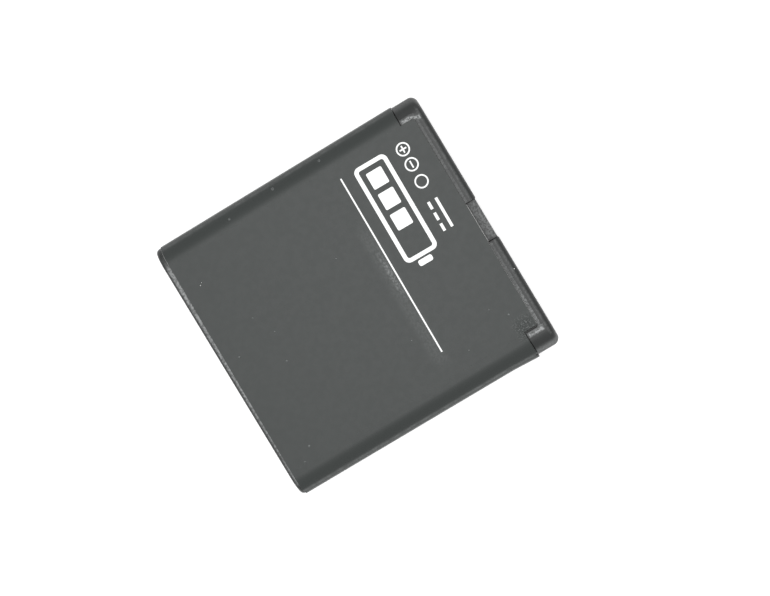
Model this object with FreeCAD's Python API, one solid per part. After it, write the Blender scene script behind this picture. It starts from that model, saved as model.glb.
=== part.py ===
import FreeCAD, Part
import math
import os

# A flat lithium-ion battery for a mobile phone, in millimetres. It lies on its back with the printed
# face up. +X points at the contact end, +Y runs across it, and the origin is at the middle of its base.

# Whole battery
pack_length = 43.6
pack_width = 41.5
pack_thickness = 4.8
side_depth = 3.0
side_nose_radius = 1.9

# Film label
film = 0.12
label_edge_setback = 0.74
label_skew = 0.5
flap_setback = 1.69
flap_edge_low = -16.66
flap_edge_high = 17.6
flap_corner_radius = 0.35
back_seam_place = -14.5
back_seam_gap = 0.25

# Contact cap, outside
cap_length = 4.4
cap_step = 0.17
cap_edge_rounding = 0.85
cap_corner_rounding = 1.1
wing_length = 3.75
wing_gap = 0.12
seam_groove_depth = 0.3
recess_clearance = 0.05
recess_slack = 0.2
lip_width = 0.4
lip_side_width = 0.7
lip_side_reach = 0.75
notch_place = 0.17
notch_width = 6.2
notch_depth = 0.95
notch_draft = 0.12
notch_mouth_radius = 0.3
contact_face_setback = 0.15

# Contact cap, inside
cavity_wall = 0.7
cavity_side_wall = 3.15
cavity_corner_radius = 0.7
pocket_depth = 0.7
end_wall = 2.05
stake_setback = 0.9
stake_diameter = 0.9
stake_head_diameter = 1.6
stake_head_thickness = 0.22
stake_head_bevel = 0.15

# Contacts and their windows
contact_pitch = 2.1
contact_width = 1.3
contact_height = 2.1
contact_thickness = 1.15
contact_drop = 0.3
contact_corner_radius = 0.2
contact_edge_bevel = 0.08
window_clearance = 0.1
window_lead_in = 0.15

# Circuit board
board_length = 30.0
board_height = 2.8
board_thickness = 0.6
board_corner_radius = 0.2
board_clearance = 0.05
stake_clearance = 0.05

# Cell
cell_bottom_rounding = 0.5
weld_inset = 0.45
weld_width = 0.16
weld_depth = 0.08
vent_place = -14.0
vent_length = 4.2
vent_height = 1.6
vent_score_width = 0.14
vent_score_depth = 0.08

# Negative terminal
terminal_length = 3.0
terminal_height = 2.2
terminal_thickness = 0.3
rivet_diameter = 1.2
terminal_corner_radius = 0.3
rivet_dimple = 0.12
gasket_base = 0.2
gasket_rim = 0.2
gasket_rim_height = 0.18
gasket_gap = 0.08

# Fill plug
plug_place = 5.8
plug_pin_diameter = 1.0
plug_pin_depth = 0.3
plug_head_diameter = 1.7
plug_head_height = 0.18

# Lid insulator
insulator_thickness = 0.15
insulator_side_room = 0.8
insulator_clearance = 0.05
insulator_corner_radius = 0.5
insulator_gap = 0.15

# Clad plate, nickel strips and fuse
plate_length = 3.4
plate_height = 2.6
plate_thickness = 0.2
strip_thickness = 0.1
strip_width = 2.0
strip_fold_overrun = 1.7
strip_weld_margin = 0.2
tab_setback = 4.0
tab_length = 2.2
tab_height = 2.0
tab_thickness = 0.3
fuse_start = -4.4
fuse_length = 4.5
fuse_height = 2.4
fuse_thickness = 0.9
fuse_rounding = 0.3
fuse_edge_bevel = 0.12
fuse_tape_thickness = 0.06
fuse_tape_margin = 0.3

# Chips on the board: thickness, length along Y, height along Z, place along Y
protection_chip_size = (0.7, 1.9, 1.5)
protection_chip_place = -2.1
switch_chip_size = (0.7, 2.9, 1.9)
switch_chip_place = 1.4
chip_lead_width = 0.25
chip_lead_reach = 0.3
chip_lead_thickness = 0.12
chip_lead_pitch = 0.65
chip_standoff = 0.04
chip_edge_radius = 0.08
passive_length = 1.0
passive_width = 0.5
resistor_thickness = 0.35
capacitor_thickness = 0.5
passive_termination = 0.25
passive_solder = 0.03
passive_pitch = 0.75
passive_row_gap = 0.6

# End cap
end_cap_length = 1.5
end_cap_step = 0.54
end_cap_rounding = 0.5
tape_thickness = 0.1
tape_margin = 2.6
tape_height = 2.8
tape_corner_radius = 0.3

# Places that follow from the sizes above
contact_end = pack_length / 2
far_end = -pack_length / 2
middle_z = pack_thickness / 2
far = pack_length + pack_width
overrun = 1.0
touch = 0.01
tolerance = 0.001

lid_face = contact_end - cap_length
wing_face = contact_end - wing_length
flap_end = contact_end - flap_setback

end_wall_face = contact_end - end_wall
board_outer_face = end_wall_face - board_clearance
board_inner_face = board_outer_face - board_thickness
contact_face = contact_end - contact_face_setback
notch_floor = pack_thickness - notch_depth
contact_z = middle_z - contact_drop

end_cap_inner_face = far_end + end_cap_length
cell_bottom = end_cap_inner_face + tape_thickness

board_end = board_length / 2
stake_offset = board_end - stake_setback
tab_place = board_end - tab_setback
cavity_half_width = pack_width / 2 - cavity_side_wall
cavity_height = pack_thickness - 2 * cavity_wall

insulator_face = lid_face + insulator_thickness
gasket_face = lid_face + gasket_base
terminal_face = gasket_face + terminal_thickness
plate_face = lid_face + plate_thickness
fuse_base = insulator_face + fuse_tape_thickness
fuse_end = fuse_start - fuse_length
tab_face = board_inner_face - tab_thickness

os.makedirs("parts", exist_ok=True)


def point(x, y, z):
    return FreeCAD.Vector(x, y, z)


def save(shape, name):
    shape.exportStep("parts/" + name + ".step")


# The cross-section of the battery, or one that lies inside it by an even inset. It is flat above and
# below, with sides rounded by two arcs each way: a wide one beside the flat, and a tighter one at the
# widest point. A side that is deeper in Z than in Y has them the other way round.
def section(x, inset):
    half = pack_thickness / 2
    tightest_share = 0.95
    tight = min(side_nose_radius, tightest_share * half, tightest_share * side_depth)
    short, deep = sorted([half, side_depth])
    wide = (deep ** 2 - 2 * deep * tight + short ** 2) / (2 * (short - tight))
    flat = pack_width / 2 - side_depth
    if side_depth >= half:
        turn = math.atan2(wide - half, side_depth - tight)
        arcs = [(flat, half - wide, wide, math.pi / 2, turn), (pack_width / 2 - tight, 0, tight, turn, 0)]
    else:
        turn = math.atan2(half - tight, wide - side_depth)
        arcs = [(flat, half - tight, tight, math.pi / 2, turn), (pack_width / 2 - wide, 0, wide, turn, 0)]

    def arc(y_side, z_side, y, z, radius, first, last):
        ends = [
            point(
                x,
                y_side * (y + (radius - inset) * math.cos(angle)),
                middle_z + z_side * (z + (radius - inset) * math.sin(angle)),
            )
            for angle in (first, (first + last) / 2, last)
        ]
        return Part.Arc(*ends).toShape()

    def flat_line(z):
        return Part.makeLine(point(x, -flat, z), point(x, flat, z))

    flats = [flat_line(pack_thickness - inset), flat_line(inset)]
    sides = [arc(y, z, *sizes) for y in (-1, 1) for z in (-1, 1) for sizes in arcs if sizes[3] > sizes[4]]
    return Part.Face(Part.Wire(Part.__sortEdges__(flats + sides)))


def slab(x_start, x_end, inset):
    return section(x_start, inset).extrude(point(x_end - x_start, 0, 0))


def box(x_start, x_end, y_start, y_end, z_start, z_end):
    corner = point(x_start, y_start, z_start)
    return Part.makeBox(x_end - x_start, y_end - y_start, z_end - z_start, corner)


# The edges of a shape that lie in the plane at x, such as the rim of an end face
def rim_at(shape, x):
    return [edge for edge in shape.Edges
            if all(abs(vertex.Point.x - x) < tolerance for vertex in edge.Vertexes)]


def edges_along(shape, axis):
    return [edge for edge in shape.Edges
            if abs(edge.tangentAt(edge.FirstParameter).dot(axis)) > 1 - tolerance]


# A plate with rounded corners that faces along X, centred on y and z
def plate_on_x(x_start, x_end, y, z, length, height, radius):
    plate = box(x_start, x_end, y - length / 2, y + length / 2, z - height / 2, z + height / 2)
    if radius <= 0:
        return plate
    widest = min(length, height) / 2 - touch
    return plate.makeFillet(min(radius, widest), edges_along(plate, point(1, 0, 0)))


def rod_on_x(x_start, x_end, y, z, diameter):
    return Part.makeCylinder(diameter / 2, x_end - x_start, point(x_start, y, z), point(1, 0, 0))


# A prism through the whole thickness whose outline has rounded corners
def prism_on_z(x_start, x_end, y_start, y_end, radius):
    prism = box(x_start, x_end, y_start, y_end, -far, far)
    if radius <= 0:
        return prism
    return prism.makeFillet(radius, edges_along(prism, point(0, 0, 1)))


# The outline in plan of the label's flap over the contact cap, or that outline grown by margins at
# its front edge and at its low and high sides
def flap_outline(front, low, high):
    return prism_on_z(
        lid_face - far, flap_end + front,
        flap_edge_low - low, flap_edge_high + high,
        flap_corner_radius + front,
    )


# The recess for the flap. The label lies to one side of it, so its low side has more room.
def recess_outline():
    return flap_outline(recess_clearance, recess_slack, recess_clearance)


# The outline of the lip round that recess. Its two side arms reach further out than its front.
def lip_outline():
    low = flap_edge_low - recess_slack
    high = flap_edge_high + recess_clearance
    between_arms = box(-far, far, low, high, -far, far)
    sides = (recess_slack + lip_side_width, recess_clearance + lip_side_width)
    front = flap_outline(recess_clearance + lip_width, *sides).common(between_arms)
    arms = flap_outline(recess_clearance + lip_side_reach, *sides).cut(between_arms)
    return front.fuse(arms)


# Film label: a sleeve with a flap above and below at the contact end, and an open seam on the back
def make_label():
    far_edge = far_end + label_edge_setback
    sleeve = slab(far_end, flap_end, 0).cut(slab(far_end - overrun, flap_end + overrun, film))
    wrap_zone = box(-far, wing_face - wing_gap, -far, far, -far, far)
    label = sleeve.common(wrap_zone.fuse(flap_outline(0, 0, 0)))
    trim = box(-far, far_edge, -far, far, -far, far)
    trim.rotate(point(far_edge, 0, 0), point(0, 0, 1), -label_skew)
    seam = box(
        -far, far,
        back_seam_place - back_seam_gap / 2, back_seam_place + back_seam_gap / 2,
        -overrun, middle_z,
    )
    return label.cut(trim).cut(seam).removeSplitter()


# A slab whose end at x_end is rounded, more at its corners in plan than along its flat faces
def rounded_slab(x_start, x_end, inset, face_radius, corner_radius):
    blank = slab(x_start, x_end, inset)
    document = FreeCAD.newDocument("rounding")
    base = document.addObject("Part::Feature", "blank")
    base.Shape = blank
    rounding = document.addObject("Part::Fillet", "rounded")
    rounding.Base = base

    def radius_at(z):
        on_a_flat = abs(z - middle_z) > pack_thickness / 2 - inset - tolerance
        return face_radius if on_a_flat else corner_radius

    rim = rim_at(base.Shape, x_end)
    rounding.Edges = [
        (number, radius_at(edge.Vertexes[0].Point.z), radius_at(edge.Vertexes[-1].Point.z))
        for number, edge in enumerate(base.Shape.Edges, 1)
        if any(edge.isSame(other) for other in rim)
    ]
    document.recompute()
    shape = rounding.Shape.copy()
    FreeCAD.closeDocument(document.Name)
    return shape


# The opening of the notch and of the contact recess in plan, flared where it meets the end face
def mouth(x_back, z_start, z_end):
    half = notch_width / 2
    radius = notch_mouth_radius
    bend = contact_end - radius
    outside = contact_end + overrun
    slant = radius * math.sqrt(0.5)

    def place(x, side, y):
        return point(x, notch_place + side * y, z_start)

    def flare(side):
        return Part.Arc(
            place(bend, side, half),
            place(bend + slant, side, half + radius - slant),
            place(contact_end, side, half + radius),
        ).toShape()

    inner = [place(bend, 1, half), place(x_back, 1, half), place(x_back, -1, half), place(bend, -1, half)]
    outer = [place(x, side, half + radius)
             for x, side in ((contact_end, 1), (outside, 1), (outside, -1), (contact_end, -1))]
    edges = [flare(1), flare(-1)]
    for ends in (inner, outer):
        edges += [Part.makeLine(first, last) for first, last in zip(ends, ends[1:])]
    outline = Part.Face(Part.Wire(Part.__sortEdges__(edges)))
    return outline.extrude(point(0, 0, z_end - z_start))


# The notch's two side walls lean outwards by their draft
def notch_walls():
    low = notch_place - notch_width / 2
    high = notch_place + notch_width / 2
    lean = notch_draft / notch_depth
    spread = notch_draft + overrun * lean
    corners = [
        point(flap_end, low, notch_floor),
        point(flap_end, high, notch_floor),
        point(flap_end, high + spread, pack_thickness + overrun),
        point(flap_end, low - spread, pack_thickness + overrun),
    ]
    face = Part.Face(Part.makePolygon(corners + corners[:1]))
    return face.extrude(point(contact_end + overrun - flap_end, 0, 0))


# A contact window, with a sloped lead-in at the face that the phone's spring contact meets
def contact_window(y):
    length = contact_width + 2 * window_clearance
    height = contact_height + 2 * window_clearance
    opening = plate_on_x(
        end_wall_face - window_lead_in, contact_end + overrun, y, contact_z, length, height, 0,
    )

    def outline(x, spread):
        low = point(x, y - length / 2 - spread, contact_z - height / 2 - spread)
        corners = [
            low,
            low + point(0, length + 2 * spread, 0),
            low + point(0, length + 2 * spread, height + 2 * spread),
            low + point(0, 0, height + 2 * spread),
        ]
        return Part.makePolygon(corners + [low])

    slope = Part.makeLoft(
        [outline(contact_face - window_lead_in, 0), outline(contact_face + touch, window_lead_in + touch)],
        True, True,
    )
    return opening.fuse(slope)


def contact_places():
    steps = {"contact_plus": 1, "contact_minus": 0, "contact_sense": -1}
    return {name: notch_place + step * contact_pitch for name, step in steps.items()}


# Contact cap: one moulding with wings, label recess, lip, notch, windows, cavity and heat stakes
def make_contact_cap():
    cap = rounded_slab(lid_face, contact_end, cap_step, cap_edge_rounding, cap_corner_rounding)

    # The label lies on a raised shelf, inside a lip as high as the film
    wrap_zone = box(lid_face, wing_face, -far, far, -far, far)
    shelf = slab(lid_face, contact_end, film).common(wrap_zone.fuse(recess_outline()))
    lip = slab(wing_face, contact_end, 0).common(lip_outline().cut(recess_outline()))
    cap = cap.fuse(shelf).fuse(lip)

    # A groove at the root of each wing, and along the flap's low side, where the label stops short
    seam_start = wing_face - wing_gap
    wing_seam = box(seam_start, wing_face, -far, far, -far, far).cut(recess_outline())
    flap_seam = recess_outline().common(box(seam_start, far, -far, flap_edge_low, -far, far))
    seams = slab(lid_face, contact_end, 0).cut(slab(lid_face, contact_end, film + seam_groove_depth))
    cap = cap.cut(seams.common(wing_seam.fuse(flap_seam)))

    # Notch in the top edge, and the contact recess in the end face below it
    cap = cap.cut(mouth(flap_end, notch_floor, pack_thickness + overrun))
    cap = cap.cut(notch_walls())
    recess = mouth(flap_end, -overrun, pack_thickness + overrun)
    cap = cap.cut(recess.common(box(contact_face, far, -far, far, -far, far)))

    # Cavity for the parts on the lid, and the pocket that the board lies in
    cap = cap.cut(plate_on_x(
        lid_face - overrun, end_wall_face - pocket_depth, 0, middle_z,
        2 * cavity_half_width, cavity_height, cavity_corner_radius,
    ))
    cap = cap.cut(plate_on_x(
        lid_face - overrun, end_wall_face, 0, middle_z,
        board_length + 2 * board_clearance, board_height + 2 * board_clearance, 0,
    ))
    for y in contact_places().values():
        cap = cap.cut(contact_window(y))

    # Heat stakes: posts through the board, melted over into heads
    for side in (-1, 1):
        y = side * stake_offset
        head_face = board_inner_face - stake_head_thickness
        post = rod_on_x(head_face, end_wall_face + touch, y, middle_z, stake_diameter)
        head = rod_on_x(head_face, board_inner_face, y, middle_z, stake_head_diameter)
        head = head.makeChamfer(stake_head_bevel, rim_at(head, head_face))
        cap = cap.fuse(post).fuse(head)
    return cap.removeSplitter()


def make_board():
    board = plate_on_x(
        board_inner_face, board_outer_face, 0, middle_z, board_length, board_height, board_corner_radius,
    )
    for side in (-1, 1):
        hole = stake_diameter + 2 * stake_clearance
        board = board.cut(rod_on_x(
            board_inner_face - overrun, board_outer_face + overrun, side * stake_offset, middle_z, hole,
        ))
    return board


# Gold-plated contact block on the outer face of the board
def make_contact(y):
    block_face = board_outer_face + contact_thickness
    contact = plate_on_x(
        board_outer_face, block_face, y, contact_z, contact_width, contact_height, contact_corner_radius,
    )
    return contact.makeChamfer(contact_edge_bevel, rim_at(contact, block_face))


# Cell: drawn can with a rounded bottom and a lid welded in, with a vent score and a filling hole
def make_cell():
    cell = slab(cell_bottom, lid_face, film)
    cell = cell.makeFillet(cell_bottom_rounding, rim_at(cell, cell_bottom))

    weld_outside = slab(lid_face - weld_depth, lid_face + overrun, film + weld_inset)
    weld_inside = slab(lid_face - weld_depth, lid_face + overrun, film + weld_inset + weld_width)
    cell = cell.cut(weld_outside.cut(weld_inside))

    def vent_shape(grow):
        height = vent_height + 2 * grow
        return plate_on_x(
            lid_face - vent_score_depth, lid_face + overrun, vent_place, middle_z,
            vent_length + 2 * grow, height, height / 2,
        )

    cell = cell.cut(vent_shape(0).cut(vent_shape(-vent_score_width)))
    return cell.cut(rod_on_x(
        lid_face - plug_pin_depth, lid_face + overrun, plug_place, middle_z, plug_pin_diameter,
    ))


# Gasket: a tray that insulates the negative terminal from the lid
def make_gasket():
    length = terminal_length + 2 * (gasket_gap + gasket_rim)
    height = terminal_height + 2 * (gasket_gap + gasket_rim)
    rim = gasket_face + gasket_rim_height
    well_radius = terminal_corner_radius + gasket_gap
    tray = plate_on_x(lid_face, rim, 0, middle_z, length, height, well_radius + gasket_rim)
    well = plate_on_x(
        gasket_face, rim + overrun, 0, middle_z,
        length - 2 * gasket_rim, height - 2 * gasket_rim, well_radius,
    )
    return tray.cut(well)


# Negative terminal: a plate on the rivet, with the dimple that the rivet's forming leaves
def make_terminal():
    plate = plate_on_x(
        gasket_face, terminal_face, 0, middle_z, terminal_length, terminal_height, terminal_corner_radius,
    )
    ball_radius = (rivet_diameter ** 2 / 4 + rivet_dimple ** 2) / (2 * rivet_dimple)
    ball = Part.makeSphere(ball_radius, point(terminal_face - rivet_dimple + ball_radius, 0, middle_z))
    return plate.cut(ball)


# Fill plug: a pin pressed into the filling hole, with a low domed head on the lid
def make_fill_plug():
    pin = rod_on_x(lid_face - plug_pin_depth, lid_face, plug_place, middle_z, plug_pin_diameter)
    radius = (plug_head_diameter ** 2 / 4 + plug_head_height ** 2) / (2 * plug_head_height)
    centre = point(lid_face + plug_head_height - radius, plug_place, middle_z)
    head = Part.makeSphere(radius, centre).common(rod_on_x(
        lid_face, lid_face + plug_head_height + overrun, plug_place, middle_z, plug_head_diameter,
    ))
    return pin.fuse(head).removeSplitter()


# Lid insulator: a fibre sheet with openings for what stands on the lid
def make_lid_insulator():
    length = 2 * (cavity_half_width - insulator_side_room)
    height = cavity_height - 2 * insulator_clearance
    sheet = plate_on_x(lid_face, insulator_face, 0, middle_z, length, height, insulator_corner_radius)

    def opening(y, length, height, radius):
        return plate_on_x(
            lid_face - overrun, insulator_face + overrun, y, middle_z,
            length + 2 * insulator_gap, height + 2 * insulator_gap, radius,
        )

    tray = 2 * (gasket_gap + gasket_rim)
    tray_radius = terminal_corner_radius + gasket_gap + gasket_rim
    sheet = sheet.cut(opening(0, terminal_length + tray, terminal_height + tray, tray_radius))
    sheet = sheet.cut(opening(tab_place, plate_length, plate_height, 0))
    sheet = sheet.cut(opening(vent_place, vent_length, vent_height, vent_height / 2))
    return sheet.cut(rod_on_x(
        lid_face - overrun, insulator_face + overrun, plug_place, middle_z,
        plug_head_diameter + 2 * insulator_gap,
    ))


# A nickel strip that leaves y_start along the lid, folds over at y_fold and comes back to y_end.
# Its two outer faces are at x_low and x_high.
def folded_strip(x_low, x_high, y_start, y_fold, y_end):
    side = 1 if y_fold > y_start else -1
    centre_x = (x_low + x_high) / 2
    outer = (x_high - x_low) / 2
    inner = outer - strip_thickness
    z = middle_z - strip_width / 2

    def bend(radius):
        return Part.Arc(
            point(centre_x - radius, y_fold, z),
            point(centre_x, y_fold + side * radius, z),
            point(centre_x + radius, y_fold, z),
        ).toShape()

    def line(x_first, y_first, x_last, y_last):
        return Part.makeLine(point(x_first, y_first, z), point(x_last, y_last, z))

    edges = [
        bend(outer),
        bend(inner),
        line(x_low, y_start, x_low, y_fold),
        line(x_low + strip_thickness, y_start, x_low + strip_thickness, y_fold),
        line(x_high, y_end, x_high, y_fold),
        line(x_high - strip_thickness, y_end, x_high - strip_thickness, y_fold),
        line(x_low, y_start, x_low + strip_thickness, y_start),
        line(x_high, y_end, x_high - strip_thickness, y_end),
    ]
    face = Part.Face(Part.Wire(Part.__sortEdges__(edges)))
    return face.extrude(point(0, 0, strip_width))


def make_positive_plate():
    return plate_on_x(lid_face, plate_face, tab_place, middle_z, plate_length, plate_height, 0)


def make_positive_strip():
    start = tab_place - plate_length / 2 + strip_weld_margin
    fold = tab_place + strip_fold_overrun
    return folded_strip(plate_face, tab_face, start, fold, tab_place - tab_length / 2)


def make_fuse_outer_lead():
    fold = -tab_place - strip_fold_overrun
    return folded_strip(terminal_face, tab_face, fuse_end, fold, -tab_place + tab_length / 2)


def make_fuse_inner_lead():
    weld_end = terminal_length / 2 - strip_weld_margin
    return plate_on_x(
        terminal_face, terminal_face + strip_thickness,
        (fuse_start + weld_end) / 2, middle_z, weld_end - fuse_start, strip_width, 0,
    )


def make_thermal_fuse():
    place = fuse_start - fuse_length / 2
    fuse = plate_on_x(
        fuse_base, fuse_base + fuse_thickness, place, middle_z, fuse_length, fuse_height, fuse_rounding,
    )
    return fuse.makeChamfer(fuse_edge_bevel, rim_at(fuse, fuse_base + fuse_thickness))


def make_fuse_tape():
    place = fuse_start - fuse_length / 2
    return plate_on_x(
        insulator_face, fuse_base, place, middle_z,
        fuse_length + 2 * fuse_tape_margin, fuse_height + 2 * fuse_tape_margin, 0,
    )


def make_board_tab(y):
    return plate_on_x(tab_face, board_inner_face, y, middle_z, tab_length, tab_height, 0)


# A chip with a row of leads along both of its long sides
def make_chip(size, place, lead_count):
    thickness, length, height = size
    top = board_inner_face - thickness
    chip = plate_on_x(
        top, board_inner_face - chip_standoff, place, middle_z, length, height, chip_edge_radius,
    )
    for number in range(lead_count):
        y = place + (number - (lead_count - 1) / 2) * chip_lead_pitch
        chip = chip.fuse(box(
            board_inner_face - chip_lead_thickness, board_inner_face,
            y - chip_lead_width / 2, y + chip_lead_width / 2,
            middle_z - height / 2 - chip_lead_reach, middle_z + height / 2 + chip_lead_reach,
        ))
    return chip.removeSplitter()


# A chip resistor or capacitor, with its soldered ends above and below
def make_passive(thickness, place):
    top = board_inner_face - thickness
    body = plate_on_x(
        top + passive_solder, board_inner_face - passive_solder, place, middle_z,
        passive_width - 2 * passive_solder, passive_length, 0,
    )
    for side in (-1, 1):
        z = middle_z + side * (passive_length - passive_termination) / 2
        end = plate_on_x(top, board_inner_face, place, z, passive_width, passive_termination, 0)
        body = body.fuse(end)
    return body.removeSplitter()


# End cap: a moulded strip on the bottom of the can, with a step under the label's edge
def make_end_cap():
    cap = slab(far_end, end_cap_inner_face, cap_step)
    cap = cap.makeFillet(end_cap_rounding, rim_at(cap, far_end))
    shelf = slab(far_end + end_cap_step, end_cap_inner_face, film)
    return cap.fuse(shelf).removeSplitter()


def make_end_tape():
    return plate_on_x(
        end_cap_inner_face, cell_bottom, 0, middle_z,
        pack_width - 2 * tape_margin, tape_height, tape_corner_radius,
    )


save(make_label(), "label_wrap")
save(make_contact_cap(), "contact_cap")
save(make_end_cap(), "end_cap")
save(make_end_tape(), "end_tape")
save(make_cell(), "cell")
save(make_gasket(), "terminal_gasket")
save(make_terminal(), "negative_terminal")
save(make_fill_plug(), "fill_plug")
save(make_lid_insulator(), "lid_insulator")
save(make_positive_plate(), "positive_plate")
save(make_positive_strip(), "positive_strip")
save(make_fuse_tape(), "fuse_tape")
save(make_thermal_fuse(), "thermal_fuse")
save(make_fuse_inner_lead(), "fuse_inner_lead")
save(make_fuse_outer_lead(), "fuse_outer_lead")
save(make_board(), "circuit_board")
save(make_board_tab(tab_place), "board_tab_plus")
save(make_board_tab(-tab_place), "board_tab_minus")
save(make_chip(protection_chip_size, protection_chip_place, 3), "protection_chip")
save(make_chip(switch_chip_size, switch_chip_place, 4), "switch_chip")
for contact_name, contact_place in contact_places().items():
    save(make_contact(contact_place), contact_name)

# The resistors and capacitors stand in one row beside the switch chip
place = switch_chip_place + switch_chip_size[1] / 2 + passive_row_gap + passive_width / 2
for kind, thickness, amount in (("resistor", resistor_thickness, 3), ("capacitor", capacitor_thickness, 2)):
    for number in range(1, amount + 1):
        save(make_passive(thickness, place), kind + "_" + str(number))
        place += passive_pitch
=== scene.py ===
import math
import bpy
import bmesh
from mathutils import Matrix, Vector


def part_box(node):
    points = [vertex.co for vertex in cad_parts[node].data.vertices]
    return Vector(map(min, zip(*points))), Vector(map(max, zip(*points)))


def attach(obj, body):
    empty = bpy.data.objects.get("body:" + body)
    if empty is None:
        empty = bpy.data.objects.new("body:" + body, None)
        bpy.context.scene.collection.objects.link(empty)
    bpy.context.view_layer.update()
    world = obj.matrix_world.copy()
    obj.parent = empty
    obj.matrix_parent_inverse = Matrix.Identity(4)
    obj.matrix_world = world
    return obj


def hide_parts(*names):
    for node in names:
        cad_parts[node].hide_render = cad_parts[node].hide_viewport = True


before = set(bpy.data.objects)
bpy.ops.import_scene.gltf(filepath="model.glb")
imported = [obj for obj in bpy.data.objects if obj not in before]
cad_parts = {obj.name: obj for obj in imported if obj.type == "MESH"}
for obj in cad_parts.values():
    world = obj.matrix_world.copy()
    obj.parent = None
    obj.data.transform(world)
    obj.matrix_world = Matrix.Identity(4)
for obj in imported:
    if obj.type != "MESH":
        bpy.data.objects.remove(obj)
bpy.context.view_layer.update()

# Cell: a drawn aluminium can with a lid welded in. The drawing leaves fine lines along its length,
# and handling leaves the metal a little uneven in gloss.
mm = 0.001
cell_colour = (0.62, 0.63, 0.64)
drawn_line_stretch = 60
metal_line_detail = 3.0
metal_patch_scale = 40
metal_tones = (0.9, 1.06)
metal_gloss = (-0.08, 0.1)
unstretched = (1, 1, 1)
usual_low = 0.3
usual_high = 0.7


def start_finish(name, colour, roughness, metallic=0.0, specular=0.5):
    material = bpy.data.materials.new(name)
    material.use_nodes = True
    shader = material.node_tree.nodes["Principled BSDF"]
    shader.inputs["Base Color"].default_value = (*colour, 1)
    shader.inputs["Roughness"].default_value = roughness
    shader.inputs["Metallic"].default_value = metallic
    shader.inputs["Specular IOR Level"].default_value = specular
    return material, material.node_tree, shader


def place_on_object(tree):
    return tree.nodes.new("ShaderNodeTexCoord").outputs["Object"]


def place_axes(tree):
    split = tree.nodes.new("ShaderNodeSeparateXYZ")
    tree.links.new(place_on_object(tree), split.inputs[0])
    return split.outputs["X"], split.outputs["Y"], split.outputs["Z"]


def speckle(tree, size, detail=2.0, stretch=unstretched):
    """A random pattern whose values mostly lie between usual_low and usual_high."""
    mapping = tree.nodes.new("ShaderNodeMapping")
    mapping.inputs["Scale"].default_value = stretch
    tree.links.new(place_on_object(tree), mapping.inputs["Vector"])
    noise = tree.nodes.new("ShaderNodeTexNoise")
    noise.inputs["Scale"].default_value = 1 / size
    noise.inputs["Detail"].default_value = detail
    tree.links.new(mapping.outputs[0], noise.inputs["Vector"])
    return noise.outputs["Fac"]


def spread(tree, value, from_low, from_high, to_low=0.0, to_high=1.0):
    """A smooth step from one result to another. Values named _spread hold these numbers in turn."""
    node = tree.nodes.new("ShaderNodeMapRange")
    node.interpolation_type = "SMOOTHSTEP"
    node.inputs["From Min"].default_value = from_low
    node.inputs["From Max"].default_value = from_high
    node.inputs["To Min"].default_value = to_low
    node.inputs["To Max"].default_value = to_high
    tree.links.new(value, node.inputs["Value"])
    return node.outputs[0]


def combine(tree, operation, first, second):
    node = tree.nodes.new("ShaderNodeMath")
    node.operation = operation
    for socket, value in zip(node.inputs, (first, second)):
        if isinstance(value, (int, float)):
            socket.default_value = value
        else:
            tree.links.new(value, socket)
    return node.outputs[0]


def blend_colours(tree, factor, first, second):
    node = tree.nodes.new("ShaderNodeMix")
    node.data_type = "RGBA"
    tree.links.new(factor, node.inputs[0])
    for socket, value in ((node.inputs[6], first), (node.inputs[7], second)):
        if isinstance(value, tuple):
            socket.default_value = (*value, 1)
        else:
            tree.links.new(value, socket)
    return node.outputs[2]


def shade(tree, factor, colour, tones):
    """A colour that runs between a darker and a lighter tone of itself."""
    darker, lighter = [tuple(channel * tone for channel in colour) for tone in tones]
    return blend_colours(tree, factor, darker, lighter)


def paint(tree, shader, colour):
    tree.links.new(colour, shader.inputs["Base Color"])


def vary_roughness(tree, shader, value, low, high, value_low=usual_low, value_high=usual_high):
    tree.links.new(spread(tree, value, value_low, value_high, low, high), shader.inputs["Roughness"])


def raise_surface(tree, shader, height, depth):
    bump = tree.nodes.new("ShaderNodeBump")
    bump.inputs["Distance"].default_value = depth
    bump.inputs["Strength"].default_value = 1.0
    tree.links.new(height, bump.inputs["Height"])
    tree.links.new(bump.outputs[0], shader.inputs["Normal"])


def dress(node_names, material):
    for name in node_names:
        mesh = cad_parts[name].data
        mesh.materials.clear()
        mesh.materials.append(material)


def make_metal(name, colour, roughness, line_size, depth, stretch=unstretched):
    material, tree, shader = start_finish(name, colour, roughness, metallic=1.0)
    lines = speckle(tree, line_size, metal_line_detail, stretch)
    patches = speckle(tree, metal_patch_scale * line_size)
    paint(tree, shader, shade(tree, patches, colour, metal_tones))
    vary_roughness(tree, shader, lines, roughness + metal_gloss[0], roughness + metal_gloss[1])
    raise_surface(tree, shader, lines, depth)
    return material


dress(["cell"], make_metal(
    "drawn_aluminium", cell_colour, roughness=0.36, line_size=0.08 * mm, depth=0.004 * mm,
    stretch=(1 / drawn_line_stretch, 1, 1),
))


# Terminal gasket, lid insulator and fill plug: a moulded plastic tray, a pressed fibre sheet stuck on
# the lid, and a small metal pin pressed into the hole through which the cell was filled.
gasket_colour = (0.72, 0.72, 0.68)
fibre_colour = (0.34, 0.41, 0.32)
plug_colour = (0.55, 0.55, 0.55)
moulding_tones = (0.93, 1.05)
moulding_gloss = (-0.06, 0.08)


def make_moulding(name, colour, roughness, grain_size, depth):
    material, tree, shader = start_finish(name, colour, roughness)
    grain = speckle(tree, grain_size)
    paint(tree, shader, shade(tree, grain, colour, moulding_tones))
    vary_roughness(tree, shader, grain, roughness + moulding_gloss[0], roughness + moulding_gloss[1])
    raise_surface(tree, shader, grain, depth)
    return material


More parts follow.
